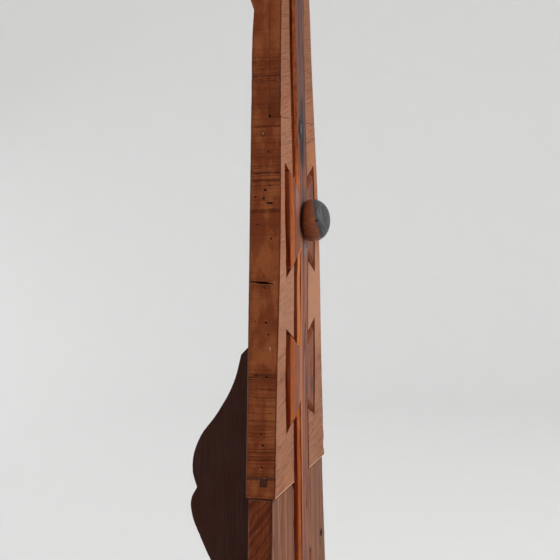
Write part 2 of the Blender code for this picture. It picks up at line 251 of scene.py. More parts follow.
def side_point(side, y, z, out=0.0):
    """A point on a leaning side face, NEAR or FAR, where y, z and out are in millimetres."""
    return Vector((side * (half_width(z * MM) + out * MM), y * MM, z * MM))


def beetle_hole(cutter, side, y, z, radius, tilt):
    """A round hole into a side face. Sizes are in millimetres."""
    add_rod(cutter, side_point(side, y, z, 2), side_point(side, y + tilt, z + tilt / 2, -7), radius * MM)


def scattered_holes(cutter, seed, count, side, low_z, high_z, low_y, high_y):
    """Beetle holes anywhere in a field of a side face. Sizes are in millimetres."""
    draw = random.Random(seed)
    for _ in range(count):
        y, z = draw.uniform(low_y, high_y), draw.uniform(low_z, high_z)
        beetle_hole(cutter, side, y, z, draw.uniform(0.55, 0.95), draw.uniform(-2, 2))


def side_check(cutter, side, z, start_y, end_y, width, seed):
    """A crack that follows the level end grain of a side face. Sizes are in millimetres."""
    drop, depth = 0.6, 8
    start, end = side_point(side, start_y, z, 1), side_point(side, end_y, z - drop, 1)
    path = jagged(start, end, 7, 0.5 * MM, UP, seed)
    add_check(cutter, path, lens(7, UP * width * MM), SIDEWAYS * -side * depth * MM)


def face_check(cutter, x, low, high, lean, y, width, swing, depth, seed):
    """An upright crack in the front or back of a board, at y. The other sizes are in millimetres."""
    start, end = Vector((x, 0, low)) * MM, Vector((x + lean, 0, high)) * MM
    start.y = end.y = y
    path = jagged(start, end, 13, swing * MM, SIDEWAYS, seed)
    add_check(cutter, path, lens(13, SIDEWAYS * width * MM), BACKWARDS * depth * MM)


# ---------------------------------------------------------------- node materials

class Tree:
    """A short way to write a material's nodes. Its coordinates are the object's own, in millimetres."""

    def __init__(self, name):
        self.material = bpy.data.materials.new(name)
        self.material.use_nodes = True
        self.nodes = self.material.node_tree.nodes
        self.links = self.material.node_tree.links
        self.shader = self.nodes["Principled BSDF"]
        coordinates = self.nodes.new("ShaderNodeTexCoord")
        self.here = self.scaled(coordinates.outputs["Object"], (1 / MM,) * 3)
        self.x, self.y, self.z = self.split(self.here)
        facing = self.split(coordinates.outputs["Normal"])
        self.facing = [self.math("ABSOLUTE", part) for part in facing]
        off_swell = self.math("ABSOLUTE", self.math("SUBTRACT", self.z, SWELL_Z / MM))
        self.from_front = self.math("ADD", self.math("SUBTRACT", self.y, FRONT / MM),
                                    self.span(off_swell, SWELL_REACH / MM, 0, 0, SWELL / MM))

    def put(self, socket, value):
        """Links value to socket, or sets it there if it is a number or a colour."""
        if isinstance(value, bpy.types.NodeSocket):
            self.links.new(value, socket)
        elif isinstance(value, tuple) and socket.type == "RGBA":
            socket.default_value = (*value, 1)
        else:
            socket.default_value = value

    def scaled(self, vector, scale, shift=(0.0, 0.0, 0.0)):
        node = self.nodes.new("ShaderNodeMapping")
        self.put(node.inputs["Vector"], vector)
        node.inputs["Scale"].default_value = scale
        node.inputs["Location"].default_value = shift
        return node.outputs["Vector"]

    def leaned(self, vector, angle):
        """vector turned about Y, so that what was level rises towards +X by angle."""
        node = self.nodes.new("ShaderNodeMapping")
        self.put(node.inputs["Vector"], vector)
        node.inputs["Rotation"].default_value = (0, angle, 0)
        return node.outputs["Vector"]

    def noise(self, vector, scale, detail=3.0, rough=0.55, shift=(0.0, 0.0, 0.0), output="Fac"):
        """Noise of vector, which is first scaled along each axis and then shifted."""
        node = self.nodes.new("ShaderNodeTexNoise")
        self.put(node.inputs["Vector"], self.scaled(vector, scale, shift))
        node.inputs["Scale"].default_value = 1
        node.inputs["Detail"].default_value = detail
        node.inputs["Roughness"].default_value = rough
        return node.outputs[output]

    def noise_along(self, value, scale, detail=2.0):
        """Noise that changes only with value."""
        node = self.nodes.new("ShaderNodeTexNoise")
        node.noise_dimensions = "1D"
        self.put(node.inputs["W"], value)
        node.inputs["Scale"].default_value = scale
        node.inputs["Detail"].default_value = detail
        return node.outputs["Fac"]

    def lines(self, vector, scale, width, detail=1.0):
        """Thin wandering lines, like the late wood of tree rings: 1 on a line and 0 beyond its width."""
        level = self.noise(vector, scale, detail, 0.45)
        away = self.math("ABSOLUTE", self.math("SUBTRACT", level, 0.5))
        return self.span(away, width, width * 0.15)

    def level_lines(self, height, scale, width, detail=2.0):
        """Thin lines wherever a noise of height crosses its middle: nearly straight and uneven in spacing."""
        away = self.math("ABSOLUTE", self.math("SUBTRACT", self.noise_along(height, scale, detail), 0.5))
        return self.span(away, width, width * 0.2)

    def math(self, kind, first, second=0.5, third=0.0):
        node = self.nodes.new("ShaderNodeMath")
        node.operation = kind
        for socket, value in zip(node.inputs, (first, second, third)):
            self.put(socket, value)
        return node.outputs[0]

    def all_of(self, *values):
        """The product of several masks."""
        product = values[0]
        for value in values[1:]:
            product = self.math("MULTIPLY", product, value)
        return product

    def vector(self, kind, first, second=(0, 0, 0)):
        node = self.nodes.new("ShaderNodeVectorMath")
        node.operation = kind
        self.put(node.inputs[0], first)
        self.put(node.inputs[1], second)
        return node.outputs["Value" if kind == "LENGTH" else "Vector"]

    def span(self, value, low, high, out_low=0.0, out_high=1.0):
        """value from low to high, smoothly, as out_low to out_high."""
        node = self.nodes.new("ShaderNodeMapRange")
        node.interpolation_type = "SMOOTHSTEP"
        numbers = {"From Min": low, "From Max": high, "To Min": out_low, "To Max": out_high}
        for name, number in numbers.items():
            node.inputs[name].default_value = number
        self.put(node.inputs["Value"], value)
        return node.outputs["Result"]

    def band(self, value, low, full_low, full_high, high):
        """1 where value is from full_low to full_high, falling smoothly to 0 at low and at high."""
        return self.all_of(self.span(value, low, full_low), self.span(value, high, full_high))

    def laid(self, colour, mask, strength, tint):
        """colour with tint laid over it where mask is 1, at that strength."""
        return self.mix(self.math("MULTIPLY", mask, strength), colour, tint)

    def mix(self, share, first, second):
        node = self.nodes.new("ShaderNodeMix")
        node.data_type = "RGBA"
        self.put(node.inputs[0], share)
        self.put(node.inputs[6], first)
        self.put(node.inputs[7], second)
        return node.outputs[2]

    def split(self, vector):
        node = self.nodes.new("ShaderNodeSeparateXYZ")
        self.put(node.inputs[0], vector)
        return node.outputs

    def attribute(self, name):
        node = self.nodes.new("ShaderNodeAttribute")
        node.attribute_name = name
        return node.outputs["Fac"]

    def warped(self, scale, size, seed=0.0):
        """The coordinates in millimetres, pushed about by up to size by a slow noise."""
        push = self.noise(self.here, (scale,) * 3, 1, 0.5, (seed, seed * 2, seed * 3), "Color")
        centred = self.vector("SUBTRACT", push, (0.5, 0.5, 0.5))
        return self.vector("ADD", self.here, self.vector("MULTIPLY", centred, (size * 2,) * 3))

    def distance(self, coordinates, centre, radii):
        """How far coordinates are from centre, in units of radii."""
        away = self.vector("SUBTRACT", coordinates, centre)
        return self.vector("LENGTH", self.vector("DIVIDE", away, radii))

    def stained(self, colour, coordinates, stains):
        """Soft patches laid over colour. Each is (centre, radii, colour, strength)."""
        for centre, radii, tint, strength in stains:
            mask = self.span(self.distance(coordinates, centre, radii), 1.0, 0.35, 0, strength)
            colour = self.mix(mask, colour, tint)
        return colour

    def knotted(self, colour, coordinates, knots):
        """Tree knots laid over colour: a ringed heart in a dark rim. Each is (centre, radii, heart, rim)."""
        for centre, radii, heart, rim in knots:
            away = self.distance(coordinates, centre, radii)
            rings = self.noise_along(away, 5.0)
            inside = self.mix(self.span(rings, 0.42, 0.6), rim, heart)
            colour = self.mix(self.span(away, 1.08, 0.8, 0, 0.95), colour, inside)
            edge = self.math("ABSOLUTE", self.math("SUBTRACT", away, 0.93))
            colour = self.mix(self.span(edge, 0.2, 0.04, 0, 0.9), colour, rim)
        return colour

    def surface(self, colour, rough, height, bump_size, specular=0.1):
        self.put(self.shader.inputs["Base Color"], colour)
        self.put(self.shader.inputs["Roughness"], rough)
        self.shader.inputs["Specular IOR Level"].default_value = specular
        bump = self.nodes.new("ShaderNodeBump")
        bump.inputs["Strength"].default_value = 0.9
        bump.inputs["Distance"].default_value = bump_size
        self.put(bump.inputs["Height"], height)
        self.links.new(bump.outputs["Normal"], self.shader.inputs["Normal"])
        return self.material

    def on_sides(self):
        """1 on a board's side faces, and 0 on its front and back."""
        return self.span(self.facing[0], 0.75, 0.9)

    def half_width(self):
        """The boards' half width at this height, in millimetres."""
        return self.math("MULTIPLY_ADD", self.z, -TAPER, low_block[1].x / MM)

    def below_faces(self, front, back):
        """How deep a point of a board is under its nearest outer face, in millimetres."""
        under_side = self.math("SUBTRACT", self.half_width(), self.math("ABSOLUTE", self.x))
        under_front = self.math("SUBTRACT", self.from_front, (front - FRONT) / MM)
        under_back = self.math("SUBTRACT", back / MM, self.y)
        return self.math("MINIMUM", under_side, self.math("MINIMUM", under_front, under_back))

    def painted_shade_in_hollows(self, colour, front, back):
        """Colour with painted shade: the inside of cracks and holes near black, and the channel's sides dark
        red, partly the red of cut wood and partly painted shade.
        """
        deep = self.span(self.below_faces(front, back), 0.55, 1.1)
        flat_back = self.span(self.z, FLAT_BACK_TOP / MM + 5, FLAT_BACK_TOP / MM - 5)
        floor, reach, top = CHANNEL_DEPTH / MM, CHANNEL_REACH / MM, top_block[1].z / MM
        in_relief = self.span(self.from_front, floor + 0.6, floor)
        below_top = self.span(self.z, top - 1.5, top - 2.5)
        beside_rail = self.span(self.math("ABSOLUTE", self.x), reach + 1, reach)
        channel = self.all_of(in_relief, below_top, beside_rail)
        cut_grain = self.noise(self.here, (0.4, 0.4, 0.12))
        shaded_red = self.mix(cut_grain, (0.075, 0.0065, 0.0008), (0.17, 0.020, 0.0022))
        shaded_red = self.mix(self.span(self.z, 690, 760, 0, 0.8), shaded_red, (0.24, 0.040, 0.0065))
        shaded_red = self.mix(self.span(self.x, 20, 30, 0, 0.6), shaded_red, (0.30, 0.095, 0.050))
        # Painted shade: near black inside the cracks and holes, and the channel's sides darkened to red.
        colour = self.mix(self.all_of(deep, flat_back), colour, (0.016, 0.006, 0.004))
        return self.mix(self.all_of(deep, channel), colour, shaded_red)


def cross_grain_timber():
    """Grain runs across: end grain with dark ring lines on the sides, fine rising saw lines on the faces."""
    tree = Tree("cross_grain_timber_look")
    z = tree.z
    slow = tree.warped(0.011, 2.2)
    on_front = tree.span(tree.y, 0, -2)
    seam, lap, lap_y, back = SEAM_Z / MM, LAP_Z / MM, LAP_Y / MM, BACK / MM

    # The faces: fibres and broken saw lines that rise a little, and broad paler and redder fields.
    rise = math.radians(9.5)
    rising = tree.leaned(slow, rise)
    fibres = tree.noise(rising, (0.03, 0.05, 0.95), 4, 0.6)
    broad = tree.noise(slow, (0.012, 0.03, 0.022), 2)
    saw_field = tree.span(tree.noise(slow, (0.02, 0.05, 0.010), 2, 0.5, (4, 4, 4)), 0.40, 0.58, 0.3, 1)
    level = tree.split(tree.leaned(tree.warped(0.018, 1.8, 6.0), rise))[2]
    saw_skips = tree.span(tree.noise(rising, (0.05, 0.05, 0.30), 2, 0.5, (7, 7, 7)), 0.36, 0.54, 0.15, 1)
    saw = tree.level_lines(level, 0.30, 0.055, 1.5)
    saw_lines = tree.all_of(saw, saw_skips, saw_field, tree.span(z, 800, 500, 0.6, 1))
    rings = tree.lines(slow, (0.004, 0.02, 0.05), 0.012)
    face = tree.mix(tree.span(fibres, 0.3, 0.7), (0.200, 0.083, 0.045), (0.365, 0.169, 0.101))
    face = tree.mix(tree.span(broad, 0.38, 0.64, 0, 0.7), face, (0.315, 0.125, 0.064))
    face = tree.laid(face, saw_lines, 0.85, (0.112, 0.043, 0.024))
    face = tree.laid(face, rings, 0.4, (0.115, 0.050, 0.030))
    face = tree.mix(tree.span(z, 740, 900, 0, 0.42), face, (0.110, 0.042, 0.023))
    pale = tree.all_of(tree.band(z, 480, 540, 600, 650), tree.span(tree.x, -40, 40, 0.3, 0.6))
    face = tree.mix(pale, face, (0.40, 0.200, 0.125))
    # Painted shade along the chipped far front edge, where the face turns away from the light.
    inset = tree.math("SUBTRACT", tree.half_width(), tree.x)
    far_edge_shade = tree.all_of(tree.span(inset, 3.6, 1.4), on_front, tree.band(z, 366, 374, 430, 455))
    face = tree.laid(face, far_edge_shade, 0.7, (0.055, 0.022, 0.014))
    # A painted highlight along the worn bottom edge of the front, just above the seam.
    foot_edge_highlight = tree.all_of(tree.span(z, seam + 2.4, seam + 1.4), on_front)
    face = tree.laid(face, foot_edge_highlight, 0.75, (0.60, 0.36, 0.25))
    knotty = tree.all_of(on_front, tree.span(tree.x, 35, 50), tree.band(z, 690, 700, 745, 765))
    face = tree.laid(face, knotty, 0.4, (0.36, 0.150, 0.052))

    # The ends: thin ring lines that crowd together in some heights and leave others clear.
    middle_clear = tree.band(z, 488, 512, 640, 668)
    clear = tree.math("MAXIMUM", middle_clear, tree.span(z, 845, 875))
    crowd = tree.span(tree.noise_along(z, 0.022, 1), 0.36, 0.56, 0.35, 1)
    crowd = tree.all_of(crowd, tree.span(clear, 0, 1, 1, 0.08))
    broken = tree.span(tree.noise(slow, (0.1, 0.10, 0.4), 2, 0.5, (3, 3, 3)), 0.33, 0.50, 0.2, 1)
    end_level = tree.split(tree.warped(0.030, 1.5, 2.0))[2]
    bold = tree.all_of(tree.level_lines(end_level, 0.115, 0.030), crowd, broken)
    thin_skips = tree.span(tree.noise(slow, (0.12, 0.16, 0.5), 2, 0.5, (1, 1, 1)), 0.36, 0.56, 0.15, 1)
    thin = tree.all_of(tree.level_lines(end_level, 0.27, 0.040), crowd, thin_skips)
    pores = tree.noise(slow, (0.3, 0.30, 1.6), 3, 0.6)
    patches = tree.noise(slow, (0.02, 0.06, 0.028), 3, 0.55, (5, 5, 5))
    ends = tree.mix(tree.span(patches, 0.36, 0.64), (0.132, 0.0290, 0.0085), (0.215, 0.061, 0.0195))
    ends = tree.mix(tree.span(pores, 0.45, 0.7, 0, 0.35), ends, (0.088, 0.020, 0.0065))
    ends = tree.laid(ends, thin, 0.62, (0.056, 0.0110, 0.0036))
    ends = tree.laid(ends, bold, 0.80, (0.042, 0.0085, 0.0030))
    upper = tree.all_of(tree.span(z, lap - 1, lap + 1), tree.span(tree.y, lap_y + 0.6, lap_y - 0.4),
                        tree.span(z, 850, 800, 0.2, 1))
    ends = tree.laid(ends, upper, 0.45, (0.055, 0.011, 0.0035))
    front_rim = tree.span(tree.from_front, 2.8, 1.2, 0, 0.8)
    back_rim = tree.all_of(tree.span(tree.y, back - 3.2, back - 1.4, 0, 0.7), tree.span(z, 860, 850))
    ends = tree.mix(front_rim, ends, (0.060, 0.0115, 0.0045))
    ends = tree.mix(back_rim, ends, (0.085, 0.038, 0.024))
    # A painted shadow line across the side face just above the plug.
    plug_shadow_line = tree.all_of(tree.span(tree.x, -20, -40), tree.band(z, 376.8, 378.2, 380.8, 382.4))
    ends = tree.laid(ends, plug_shadow_line, 0.75, (0.035, 0.014, 0.009))

    # A pale peg's end in a dark ring, a pale scar, and dark patches just below the open crack and round the
    # plug.
    warped = tree.warped(0.12, 1.6, 2.0)
    edge = -half_width(767 * MM) / MM
    ends = tree.stained(ends, warped, [
        ((edge, 2.7, 766.5), (12, 4.4, 4.6), (0.05, 0.012, 0.005), 0.8),
        ((edge, 2.6, 767.2), (12, 1.8, 2.0), (0.27, 0.12, 0.06), 0.85),
        ((-106, -8.7, 524.5), (9, 0.9, 3.2), (0.45, 0.26, 0.16), 0.85),
        ((-101, -1.5, 594.5), (9, 8, 1.6), (0.05, 0.012, 0.006), 0.7),
        ((-120, -1.6, 373.5), (12, 6.4, 6.8), (0.05, 0.018, 0.010), 0.6),
    ])

    colour = tree.mix(tree.on_sides(), face, ends)
    worn = tree.attribute("worn")
    rubbed = tree.all_of(worn, tree.span(tree.from_front, 0.9, 0.4), tree.span(pores, 0.3, 0.6))
    colour = tree.laid(colour, rubbed, 0.3, (0.42, 0.22, 0.14))
    # Painted shade in the cracks, holes and channel sides.
    colour = tree.painted_shade_in_hollows(colour, FRONT, BACK)
    tall = tree.math("MULTIPLY_ADD", tree.math("MAXIMUM", bold, saw_lines), -0.8, fibres)
    return tree.surface(colour, tree.span(fibres, 0.3, 0.7, 0.68, 0.84), tall, 0.5 * MM, 0.07)


def upright_timber():
    """Grain runs up: brown streaks on the faces, and slanting dark rings on the side faces."""
    tree = Tree("upright_timber_look")
    slow = tree.warped(0.008, 5.0, 3.0)
    front, back, seam = low_block[0].y / MM, low_block[1].y / MM, SEAM_Z / MM
    fibres = tree.noise(slow, (0.55, 0.55, 0.012), 4, 0.6)
    streaks = tree.noise(slow, (0.095, 0.095, 0.0035), 3, 0.6)
    dark_lines = tree.lines(slow, (0.075, 0.075, 0.0022), 0.028, 1.5)
    face = tree.mix(tree.span(streaks, 0.34, 0.66), (0.130, 0.055, 0.036), (0.285, 0.122, 0.066))
    face = tree.mix(tree.span(fibres, 0.44, 0.66, 0, 0.6), face, (0.098, 0.042, 0.027))
    face = tree.laid(face, dark_lines, 0.5, (0.058, 0.026, 0.019))
    greyed = tree.span(tree.noise(slow, (0.03, 0.03, 0.004), 2, 0.5, (8, 8, 8)), 0.44, 0.62, 0, 0.45)
    face = tree.mix(greyed, face, (0.160, 0.082, 0.064))
    # A painted shadow just under the seam, where the lower block's front is set back.
    seam_shadow_line = tree.all_of(tree.span(tree.z, seam - 4.5, seam - 2.5), tree.span(tree.y, 0, -2))
    face = tree.laid(face, seam_shadow_line, 0.8, (0.045, 0.020, 0.014))

    bent = tree.split(tree.warped(0.022, 11.0, 5.0))
    slant = tree.math("MULTIPLY_ADD", bent[1], -1.25, tree.math("MULTIPLY", bent[2], -0.9))
    rings = tree.span(tree.noise_along(slant, 0.115), 0.48, 0.62)
    ring_lines = tree.span(tree.noise_along(slant, 0.34), 0.54, 0.64)
    sides = tree.mix(tree.span(fibres, 0.3, 0.7), (0.095, 0.0200, 0.0060), (0.138, 0.0330, 0.0110))
    sides = tree.laid(sides, rings, 0.65, (0.044, 0.0095, 0.0035))
    sides = tree.laid(sides, ring_lines, 0.42, (0.030, 0.007, 0.003))
    # Painted shade on the side faces along their front edge.
    rim = tree.span(tree.y, front + 5.5, front + 0.6, 0, 0.8)
    sides = tree.mix(rim, sides, (0.030, 0.009, 0.005))
    colour = tree.mix(tree.on_sides(), face, sides)

    # Painted shade, near black, and moss in the two hollows of the front, dark patches, and a knot in the
    # back. The knot's rim takes the same near black.
    warped = tree.warped(0.06, 4, 2.0)
    hollow_shade_and_knot_rim, moss = (0.018, 0.008, 0.006), (0.075, 0.062, 0.026)
    colour = tree.stained(colour, warped, [
        ((114, front, 255), (9, 14, 8), hollow_shade_and_knot_rim, 0.97),
        ((107, front, 244), (6, 14, 8), moss, 0.7),
        ((50, front, 243), (11, 14, 13), hollow_shade_and_knot_rim, 0.95),
        ((-86, front, 120), (12, 14, 24), (0.06, 0.028, 0.02), 0.8),
        ((70, back, 220), (14, 14, 30), (0.06, 0.028, 0.02), 0.8),
    ])
    colour = tree.knotted(colour, warped, [((-70, back, 120), (13, 14, 19), (0.10, 0.045, 0.03), hollow_shade_and_knot_rim)])
    colour = tree.laid(colour, tree.attribute("worn"), 0.2, (0.30, 0.15, 0.09))
    # Painted shade in the cracks, holes and channel sides.
    colour = tree.painted_shade_in_hollows(colour, low_block[0].y, low_block[1].y)
    tall = tree.math("MULTIPLY_ADD", dark_lines, -0.6, fibres)
    return tree.surface(colour, tree.span(streaks, 0.3, 0.7, 0.72, 0.86), tall, 0.5 * MM, 0.07)


def rail_timber():
    """One long plank: a weathered purple-grey top with knots, clean orange chamfers and dark red sides,
    partly the red of cut wood and partly painted shade.
    """
    tree = Tree("rail_timber_look")
    z = tree.z
    slow = tree.warped(0.009, 3.0, 7.0)
    fibres = tree.noise(slow, (0.75, 0.5, 0.013), 4, 0.62)
    streaks = tree.noise(slow, (0.13, 0.1, 0.003), 3, 0.6)
    dark_lines = tree.lines(slow, (0.10, 0.08, 0.0026), 0.03, 2)
    patches = tree.noise(slow, (0.03, 0.03, 0.012))
    off_axis = tree.math("ABSOLUTE", tree.x)
    in_top = tree.span(tree.facing[1], 0.80, 0.93)
    in_wall = tree.span(tree.facing[1], 0.45, 0.25)

    top = tree.mix(tree.span(streaks, 0.34, 0.64), (0.105, 0.050, 0.042), (0.285, 0.112, 0.070))
    top = tree.mix(tree.span(patches, 0.47, 0.66, 0, 0.55), top, (0.31, 0.110, 0.056))
    top = tree.mix(tree.span(fibres, 0.44, 0.66, 0, 0.5), top, (0.082, 0.038, 0.033))
    top = tree.laid(top, dark_lines, 0.42, (0.045, 0.022, 0.020))
    out_of_rail = tree.span(off_axis, 17, 22, 0, 0.45)
    top = tree.mix(out_of_rail, top, tree.mix(streaks, (0.110, 0.036, 0.024), (0.27, 0.090, 0.050)))
    rail_only = tree.span(off_axis, 19, 18)
    rubbed = tree.span(z, 700, 640, 0, 0.6)
    margin = tree.all_of(rail_only, tree.span(tree.x, -9, -13.5), rubbed, tree.span(z, 380, 440, 0.35, 1))
    top = tree.mix(margin, top, tree.mix(fibres, (0.30, 0.098, 0.038), (0.50, 0.205, 0.095)))
    # A painted shadow line along the rail top's far edge, beside the far strip.
    right_edge_shadow = tree.all_of(rail_only, tree.span(tree.x, 12.5, 15.5), tree.span(z, 690, 730, 0.25, 0.75))
    top = tree.mix(right_edge_shadow, top, (0.060, 0.028, 0.025))
    high = tree.span(z, 685, 775, 0, 0.88)
    greyed = tree.mix(tree.span(fibres, 0.38, 0.62), (0.058, 0.029, 0.027), (0.150, 0.078, 0.066))
    top = tree.mix(high, top, greyed)

    chamfer = tree.mix(tree.span(fibres, 0.3, 0.7), (0.29, 0.062, 0.011), (0.54, 0.168, 0.048))
    chamfer = tree.mix(tree.span(patches, 0.42, 0.66, 0, 0.55), chamfer, (0.24, 0.045, 0.008))
    nicks = tree.span(tree.noise(slow, (0.2, 0.2, 0.11), 3, 0.6, (6, 6, 6)), 0.47, 0.6)
    chamfer = tree.mix(tree.all_of(nicks, tree.span(z, 700, 780, 0.15, 0.9)), chamfer,
                       (0.060, 0.0085, 0.002))
    in_rail = tree.span(off_axis, 24, 21)
    bright = tree.all_of(in_rail, tree.band(z, 500, 550, 660, 690))
    chamfer = tree.laid(chamfer, bright, 0.5, (0.54, 0.215, 0.095))
    chamfer = tree.mix(tree.span(in_rail, 0.9, 0.1, 0, 0.35), chamfer, (0.24, 0.060, 0.020))
    chamfer = tree.mix(tree.span(z, 670, 765, 0, 0.78), chamfer, (0.130, 0.025, 0.006))
    chamfer = tree.mix(tree.span(z, 440, 360, 0, 0.55), chamfer, (0.25, 0.052, 0.012))
    # Painted shade on the far chamfers, which face away from the light.
    far_chamfer_shade = tree.all_of(tree.span(tree.x, 18, 22), tree.span(z, 380, 400))
    chamfer = tree.laid(chamfer, far_chamfer_shade, 0.72, (0.105, 0.030, 0.015))
    # The sides: partly the dark red of cut wood and partly painted shade.
    shaded_wall = tree.mix(tree.span(fibres, 0.3, 0.7), (0.085, 0.008, 0.001), (0.165, 0.020, 0.003))
    shaded_wall = tree.mix(tree.span(z, 690, 760, 0, 0.75), shaded_wall, (0.24, 0.042, 0.007))

    # Grey and black weather stains from above the upper bow-tie down, and two knots.
    swirl = tree.warped(0.05, 4.0, 2.0)
    grey, deep_grey, black = (0.066, 0.056, 0.058), (0.05, 0.040, 0.043), (0.016, 0.012, 0.013)
    y = rail_box[0].y / MM
    top = tree.stained(top, swirl, [
        ((-3, y, 752), (17, 20, 32), (0.040, 0.023, 0.024), 0.9),
        ((0, y, 800), (13, 20, 22), (0.042, 0.027, 0.028), 0.8),
        ((8, y, 698), (12, 20, 14), (0.09, 0.070, 0.062), 0.75),
        ((4, y, 530), (5.5, 20, 30), grey, 0.9),
        ((3, y, 514), (2.6, 20, 20), black, 0.75),
        ((40, y, 463), (10, 20, 15), grey, 0.85),
        ((12, y, 470), (9, 20, 34), (0.085, 0.052, 0.050), 0.7),
        ((7, y, 631), (14, 20, 13), (0.17, 0.135, 0.125), 0.9),
        ((14, y, 634.5), (3.4, 20, 3.2), black, 0.95),
        ((-30, y, 690), (13, 20, 20), (0.30, 0.150, 0.125), 0.7),
        ((14, y, 225), (9, 20, 32), deep_grey, 0.8),
        ((-4, y, 935), (5, 20, 26), deep_grey, 0.7),
    ])
    top = tree.knotted(top, swirl, [
        ((-3, y, 776), (13, 20, 16), (0.125, 0.118, 0.120), (0.026, 0.021, 0.023)),
        ((3, y, 140), (10, 20, 15), (0.10, 0.075, 0.07), (0.022, 0.017, 0.019)),
    ])
    top = tree.stained(top, swirl, [((-13, y, 776), (5.5, 20, 17), (0.010, 0.007, 0.008), 0.97)])
    knot_checks = tree.all_of(tree.lines(swirl, (0.32, 0.1, 0.07), 0.05, 1),
                              tree.span(tree.distance(swirl, (-3, y, 768), (15, 20, 30)), 1.0, 0.6))
    top = tree.laid(top, knot_checks, 0.8, black)
    colour = tree.mix(in_top, chamfer, top)
    colour = tree.mix(in_wall, colour, shaded_wall)
    # Painted shade: near black in the top's cracks, below its surface.
    under = tree.math("SUBTRACT", tree.y, y)
    crack_shade = tree.all_of(in_top, tree.span(under, 0.9, 1.6))
    colour = tree.mix(crack_shade, colour, black)
    colour = tree.laid(colour, tree.attribute("worn"), 0.25, (0.40, 0.165, 0.085))
    tall = tree.math("MULTIPLY_ADD", dark_lines, -0.7, fibres)
    return tree.surface(colour, tree.span(fibres, 0.3, 0.7, 0.66, 0.82), tall, 0.5 * MM, 0.08)


def keel_timber():
    """Very dark stained timber with the saw's faint upright lines, rubbed a little paler on its edges."""
    tree = Tree("keel_timber_look")
    slow = tree.warped(0.006, 3.0, 11.0)
    fibres = tree.noise(slow, (0.45, 0.55, 0.02), 4, 0.62)
    saw = tree.noise(slow, (0.25, 0.62, 0.008), 2, 0.5, (3, 3, 3))
    patches = tree.noise(slow, (0.03, 0.03, 0.02), 3, 0.6)
    colour = tree.mix(tree.span(fibres, 0.3, 0.7), (0.027, 0.0080, 0.0048), (0.043, 0.0150, 0.0098))
    colour = tree.mix(tree.span(saw, 0.45, 0.66, 0, 0.3), colour, (0.054, 0.0220, 0.0155))
    colour = tree.mix(tree.span(patches, 0.42, 0.68, 0, 0.55), colour, (0.042, 0.0120, 0.0072))
    colour = tree.laid(colour, tree.attribute("worn"), 0.3, (0.075, 0.033, 0.022))
    tall = tree.math("MULTIPLY_ADD", saw, 0.6, fibres)
    return tree.surface(colour, tree.span(patches, 0.3, 0.7, 0.62, 0.78), tall, 0.35 * MM, 0.12)


def knob_timber():
    """Turned brown wood whose end grain cap is stained dark grey, with swirling grain."""
    tree = Tree("knob_timber_look")
    tip, foot = knob_box[0].y / MM, knob_box[1].y / MM
    middle = KNOB_Z / MM
    ragged = tree.noise(tree.here, (0.085, 0.085, 0.085), 2, 0.5)
    above = tree.math("SUBTRACT", tree.z, middle)
    lift = tree.math("MULTIPLY", above, 0.17)
    off_middle = tree.math("MULTIPLY", above, 0.05)
    lift = tree.math("MULTIPLY_ADD", off_middle, tree.math("MULTIPLY", off_middle, 1.6), lift)
    edge = tree.math("ADD", tree.math("MULTIPLY_ADD", tree.y, -1.0, lift), tree.math("MULTIPLY", ragged, 7.0))
    cap = tree.span(edge, 44.8, 48.6)
    well_in = tree.span(edge, 46.5, 53.5)

    bent = tree.warped(0.045, 8.0, 4.0)
    away = tree.distance(bent, (3, tip, middle + 5), (17, 30, 12))
    rings = tree.span(tree.noise_along(away, 5.5, 3), 0.36, 0.64)
    fine_rings = tree.span(tree.noise_along(away, 17.0), 0.4, 0.6)
    fibres = tree.noise(bent, (0.5, 0.06, 0.5), 4, 0.65)
    body = tree.mix(tree.span(fibres, 0.3, 0.7), (0.098, 0.0205, 0.0045), (0.208, 0.0550, 0.0125))
    body = tree.mix(tree.span(rings, 0, 1, 0, 0.25), body, (0.085, 0.0180, 0.0045))
    dark = tree.mix(rings, (0.022, 0.020, 0.022), (0.088, 0.087, 0.091))
    dark = tree.laid(dark, fine_rings, 0.35, (0.030, 0.026, 0.028))
    dark = tree.mix(well_in, (0.019, 0.017, 0.021), dark)
    colour = tree.mix(cap, body, dark)
    pin_hole = (knob_box[0].x / MM + 1, -44.5, middle)
    spot = tree.span(tree.distance(tree.here, pin_hole, (9, 2.4, 3.2)), 1.0, 0.5)
    colour = tree.laid(colour, spot, 0.85, (0.012, 0.009, 0.009))
    # Near black round the knob's foot: partly grime and partly a painted contact shadow.
    grime_and_contact_shadow = tree.span(tree.math("MULTIPLY_ADD", ragged, 3.0, tree.y), foot - 3.5, foot + 0.5, 0, 0.93)
    colour = tree.mix(grime_and_contact_shadow, colour, (0.016, 0.006, 0.004))
    return tree.surface(colour, tree.span(rings, 0, 1, 0.40, 0.55), rings, 0.1 * MM, 0.28)


def peg_timber():
    """Hardwood pegs and turnings, with dark rings."""
    tree = Tree("peg_timber_look")
    slow = tree.warped(0.06, 1.5, 9.0)
    fibres = tree.noise(slow, (0.9, 0.05, 0.9), 4, 0.62)
    rings = tree.lines(slow, (0.28, 0.012, 0.28), 0.05, 1.5)
    colour = tree.mix(tree.span(fibres, 0.3, 0.7), (0.125, 0.046, 0.020), (0.31, 0.138, 0.066))
    colour = tree.laid(colour, rings, 0.6, (0.060, 0.022, 0.011))
    return tree.surface(colour, tree.span(fibres, 0.3, 0.7, 0.64, 0.8), fibres, 0.3 * MM)


